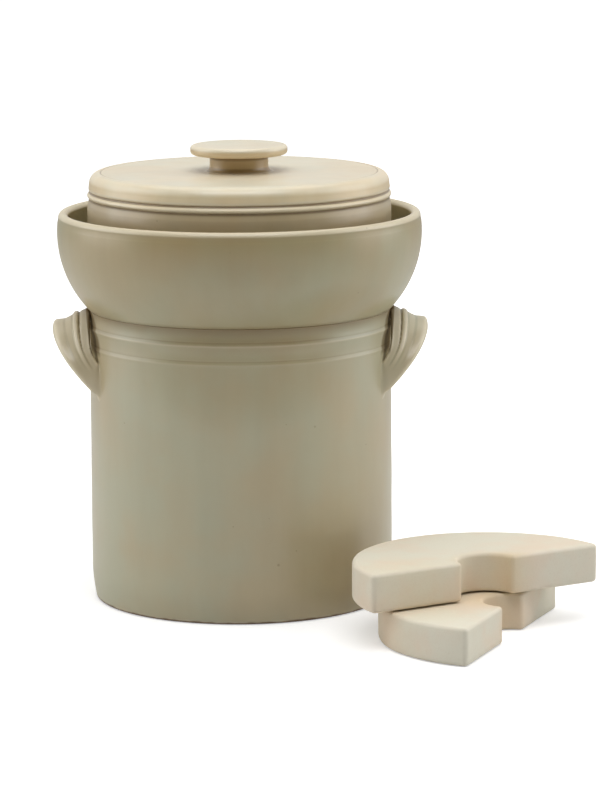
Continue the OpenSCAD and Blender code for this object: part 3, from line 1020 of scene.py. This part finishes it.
def edged(s, color, tones, thin_and_highlight_share):
    """Glaze that is thin and pale on edges, which also paints highlights there, less so on the rings and not
    at the seam; painted shade along the seam; and darker where glaze gathers in grooves.
    """
    stand = s.edge()
    seam = s.band(*SEAM_LINE)
    out = s.add("VectorMath", {0: s.stretched(1, 1, 0)}, operation="LENGTH").outputs["Value"]
    rings = s.math("MULTIPLY", s.band(*RING_ZONE), s.rise(out, *WALL_FACE, RING_COVER))
    bare = s.math("SUBTRACT", 1.0, s.math("MAXIMUM", seam, rings))
    # Pale edge tone: thinned glaze, and painted highlight on rims, beads and rings.
    thin = s.math("MULTIPLY", s.rise(stand, *THIN_AND_HIGHLIGHT_RANGE, thin_and_highlight_share), bare)
    color = s.blend(thin, color, tones["thin"])
    # Painted shade along the seam where the gutter meets the pot.
    color = s.blend(s.math("MULTIPLY", seam, SEAM_SHADE), color, tones["pooled_and_shade"])
    pooled_and_shade = s.rise(s.math("MULTIPLY", stand, -1.0), *POOL_RANGE)
    open_share = s.math("SUBTRACT", 1.0, s.math("MULTIPLY", seam, SEAM_COVER))
    return s.blend(s.math("MULTIPLY", pooled_and_shade, open_share), color, tones["pooled_and_shade"])


def glaze(name, tones, thin_and_highlight_share, bands):
    """Salt glaze with iron specks, a bare foot also darkened as painted contact shade, painted shade under
    the gutter and behind the straps, and duller glaze there.
    """
    s = Shader(name)
    up = s.place["Z"]
    color = clouded(s, tones, bands)
    # Painted shade under the gutter's overhang, in the dark brown tone.
    sheltered = s.math("MULTIPLY", s.rise(up, *SHELTER), s.rise(up, *SHELTER_END))
    color = s.blend(sheltered, color, tones["pooled_and_shade"])
    color = edged(s, color, tones, thin_and_highlight_share)
    for scale, size, share, strength in SPECKS:
        color = s.blend(s.math("MULTIPLY", s.dots(scale, size, share), strength), color, SPECK)
    ragged = s.math("ADD", up, s.math("MULTIPLY", s.noise(FOOT_NOISE), FOOT_RAGGED))
    foot = s.rise(ragged, *FOOT_BARE_AND_SHADE)
    # Bare, toasted foot, also painted contact shade.
    color = s.blend(foot, color, TOAST_AND_CONTACT_SHADE)
    # Painted shade on the wall behind the straps.
    pocket = s.math("MULTIPLY", s.strap_pocket(POCKET_LOW), POCKET_SHADE)
    color = s.blend(pocket, color, STRAP_SHADE)
    dull = s.strap_pocket(DULL_LOW)
    roughness = s.math("ADD", s.math("MULTIPLY", s.noise(ROUGH_SCALE, 3.0), ROUGH_SPREAD), ROUGHNESS)
    roughness = s.math("ADD", roughness, s.math("MULTIPLY", s.math("MAXIMUM", foot, dull), ROUGH_DRY))
    gloss = s.math("SUBTRACT", GLOSS, s.math("MULTIPLY", s.math("MAXIMUM", dull, sheltered), GLOSS))
    normal = s.bump(s.noise(1.0, 2.0, s.stretched(*TURN_STRETCH)), *TURN_BUMP)
    normal = s.bump(s.noise(PEEL_SCALE, 2.0), *PEEL_BUMP, normal)
    return s.finish(color, roughness, normal, gloss, GLAZE_IOR)


def bisque(name):
    """Unglazed cream clay with faint blushes, fine grain and pores."""
    s = Shader(name)
    color = s.blend(s.rise(s.noise(BLUSH_SCALE, 4.0), *BLUSH_RANGE), BISQUE_CREAM, BISQUE_BLUSH)
    grain = s.noise(GRAIN_SCALE, 3.0)
    color = s.blend(s.rise(grain, *GRAIN_RANGE), color, BISQUE_DARK)
    color = s.blend(s.rise(s.edge(), *WORN_RANGE), color, BISQUE_WORN)
    for middle, reach, strength in BLUSHED:
        color = s.blend(s.patch("XY", middle, reach, strength), color, NOTCH_BLUSH, "MULTIPLY")
    pores = s.dots(*PORES)
    color = s.blend(s.math("MULTIPLY", pores, PORE_SHADE), color, BISQUE_DARK)
    roughness = s.math("ADD", s.math("MULTIPLY", grain, CLAY_ROUGH_SPREAD), CLAY_ROUGHNESS)
    height = s.math("SUBTRACT", grain, s.math("MULTIPLY", pores, PORE_DEPTH))
    normal = s.bump(height, *CLAY_BUMP)
    normal = s.bump(s.noise(DENT_SCALE, 3.0), *DENT_BUMP, normal)
    return s.finish(color, roughness, normal, GLOSS, CLAY_IOR)


# Set


def add_floor():
    """Pale floor that keeps the object's shadow and is white to the camera further off."""
    corners = [(x * GROUND_HALF, y * GROUND_HALF, GROUND_Z) for x, y in ((-1, -1), (1, -1), (1, 1), (-1, 1))]
    floor = add_object("floor", corners, [[0, 1, 2, 3]])
    s = Shader("floor_white")
    matte = s.add("BsdfDiffuse", {"Color": (FLOOR_ALBEDO, FLOOR_ALBEDO, FLOOR_ALBEDO, 1)})
    seen = s.add("LightPath").outputs["Is Camera Ray"]
    distance = s.add("VectorMath", {0: s.coords}, operation="LENGTH").outputs["Value"]
    lift = s.math("ADD", s.rise(distance, *FLOOR_FADE, FLOOR_LIFT_FAR - FLOOR_LIFT), FLOOR_LIFT)
    glow = s.add("Emission", {"Strength": s.math("MULTIPLY", seen, lift)})
    both = s.add("AddShader", {0: matte.outputs[0], 1: glow.outputs[0]})
    s.add("OutputMaterial", {"Surface": both.outputs[0]})
    floor.data.materials.append(s.material)


def add_world():
    """White to the camera, and a room that is dark in front and pale behind to everything else."""
    world = bpy.data.worlds.new("studio")
    world.use_nodes = True
    tree = world.node_tree
    tree.nodes.clear()
    path = tree.nodes.new("ShaderNodeLightPath")
    coords = tree.nodes.new("ShaderNodeTexCoord")
    split = tree.nodes.new("ShaderNodeSeparateXYZ")
    room = tree.nodes.new("ShaderNodeMapRange")
    room.interpolation_type = "SMOOTHSTEP"
    for key, value in zip(("From Min", "From Max", "To Min", "To Max"), (*ROOM_TURN, ROOM_FRONT, ROOM_BACK)):
        room.inputs[key].default_value = value
    mix = tree.nodes.new("ShaderNodeMix")
    mix.data_type = "RGBA"
    mix.inputs[7].default_value = (1, 1, 1, 1)
    background = tree.nodes.new("ShaderNodeBackground")
    output = tree.nodes.new("ShaderNodeOutputWorld")
    tree.links.new(coords.outputs["Generated"], split.inputs[0])
    tree.links.new(split.outputs["Y"], room.inputs["Value"])
    tree.links.new(room.outputs["Result"], mix.inputs[6])
    tree.links.new(path.outputs["Is Camera Ray"], mix.inputs[0])
    tree.links.new(mix.outputs[2], background.inputs["Color"])
    tree.links.new(background.outputs[0], output.inputs[0])
    bpy.context.scene.world = world


def add_lamp(name, place, target, size, power):
    """Soft box at a place, turned to a target."""
    data = bpy.data.lights.new(name, "AREA")
    data.shape = "RECTANGLE"
    data.size, data.size_y = size
    data.energy = power
    lamp = bpy.data.objects.new(name, data)
    lamp.location = place
    lamp.rotation_euler = (Vector(target) - Vector(place)).to_track_quat("-Z", "Y").to_euler()
    bpy.context.scene.collection.objects.link(lamp)


def add_camera():
    """Camera of the photograph: a long lens, ten degrees down."""
    pitch, yaw, roll = (math.radians(a) for a in CAMERA_TURN)
    ahead = Vector((math.sin(yaw) * math.cos(pitch), math.cos(yaw) * math.cos(pitch), -math.sin(pitch)))
    right = ahead.cross(Vector((0, 0, 1))).normalized()
    up = right.cross(ahead)
    turned_right = right * math.cos(roll) + up * math.sin(roll)
    turned_up = up * math.cos(roll) - right * math.sin(roll)
    data = bpy.data.cameras.new("camera")
    data.sensor_width = SENSOR
    data.lens = SENSOR * FOCAL_PX / IMAGE_LONG_PX
    data.clip_end = CAMERA_FAR
    camera = bpy.data.objects.new("camera", data)
    axes = Matrix((turned_right, turned_up, -ahead)).transposed().to_4x4()
    camera.matrix_world = Matrix.Translation(CAMERA_PLACE) @ axes
    bpy.context.scene.collection.objects.link(camera)
    bpy.context.scene.camera = camera


def place_piece(obj, node, body, material):
    """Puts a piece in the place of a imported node."""
    obj.data.materials.append(material)
    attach(obj, body)
    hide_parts(node)


add_camera()
add_world()
add_floor()
for lamp in LAMPS:
    add_lamp(*lamp)

body_glaze = glaze("body_glaze", BODY_TONES, BODY_THIN_AND_HIGHLIGHT, BODY_BANDS)
lid_glaze = glaze("lid_glaze", LID_TONES, LID_THIN_AND_HIGHLIGHT, LID_BANDS)
stone_bisque = bisque("stone_bisque")

pot = lathe("pot_shell", pot_profile(), False, reshape=thrown)
gutter = lathe("gutter_ring", bowl_profile(), True)
right_strap = handle("strap_right", False)
left_strap = handle("strap_left", True)
cover = lathe("lid_cover", lid_profile(), False, lid_angles(), vented)
grip = lathe("lid_grip", knob_profile(), False)
low_stone = stone("stone_low", LOWER_PLACE, LOWER_TURN, LOWER_PHASE, STONE_T - STONE_GAP)
high_stone = stone("stone_high", UPPER_PLACE, UPPER_TURN, UPPER_PHASE, STONE_T)

place_piece(pot, "crock_body", "crock", body_glaze)
place_piece(gutter, "gutter_bowl", "crock", body_glaze)
place_piece(right_strap, "right_handle", "crock", body_glaze)
place_piece(left_strap, "left_handle", "crock", body_glaze)
place_piece(cover, "lid", "lid", lid_glaze)
place_piece(grip, "lid_knob", "lid", lid_glaze)
place_piece(low_stone, "lower_stone", "lower_stone", stone_bisque)
place_piece(high_stone, "upper_stone", "upper_stone", stone_bisque)

bpy.context.scene.view_settings.view_transform = "Standard"
